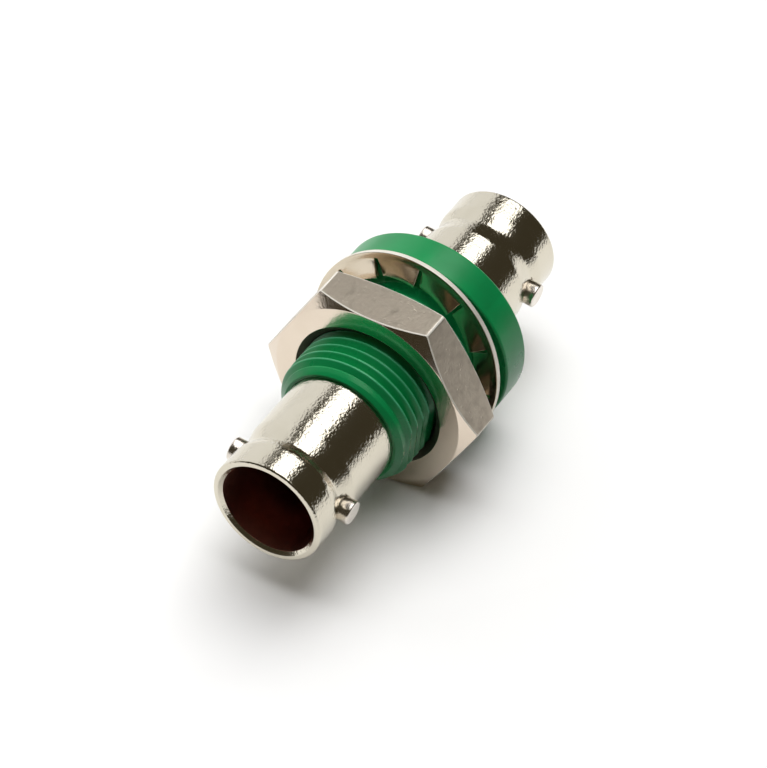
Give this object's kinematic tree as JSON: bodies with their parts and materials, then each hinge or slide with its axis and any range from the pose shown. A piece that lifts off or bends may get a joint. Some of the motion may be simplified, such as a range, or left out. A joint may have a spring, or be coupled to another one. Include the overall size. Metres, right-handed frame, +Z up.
{
  "type": "insulated bnc bulkhead adapter",
  "caption": "Jack-to-jack coaxial bulkhead adapter: bayonet jacks in a threaded insulating bush with a flange, hex nut and twisted-tooth lock washer.",
  "frame": {"origin": "on the connector's axis, in the face of the flange that bears on the panel", "axes": "+X along the axis towards the threaded side's mouth, +Z up as it lies, +Y to the side that the bush's flat faces"},
  "size_m": [0.0364, 0.0194, 0.0174],
  "materials": {
    "green_plastic": "semi-gloss moulded",
    "shell_nickel": "bright nickel plate on turned brass",
    "nut_nickel": "satin nickel plate",
    "washer_nickel": "nickel plate on stamped sheet",
    "dielectric": "moulded, red-brown",
    "contact_gold": "gold flash"
  },
  "bodies": {
    "connector": {"insulating_bush": "green_plastic", "front_shell": "shell_nickel", "rear_shell": "shell_nickel", "front_lug_left": "shell_nickel", "front_lug_right": "shell_nickel", "rear_lug_left": "shell_nickel", "rear_lug_right": "shell_nickel", "front_dielectric": "dielectric", "rear_dielectric": "dielectric", "centre_contact": "contact_gold"},
    "washer": {"lock_washer": "washer_nickel"},
    "nut": {"hex_nut": "nut_nickel"}
  },
  "joints": [
    {"name": "washer_slide", "type": "slide", "parent": "connector", "child": "washer", "axis": [-1, 0, 0], "range_m": [-0.0063, 0]},
    {"name": "nut_turn", "type": "hinge", "parent": "washer", "child": "nut", "pos_m": [0.00568, 0, 0], "axis": [-1, 0, 0], "range_deg": [-2520, 0]}
  ],
  "couplings": [
    {"joint": "washer_slide", "follows": "nut_turn", "m_per_rad": 0.00014324}
  ]
}
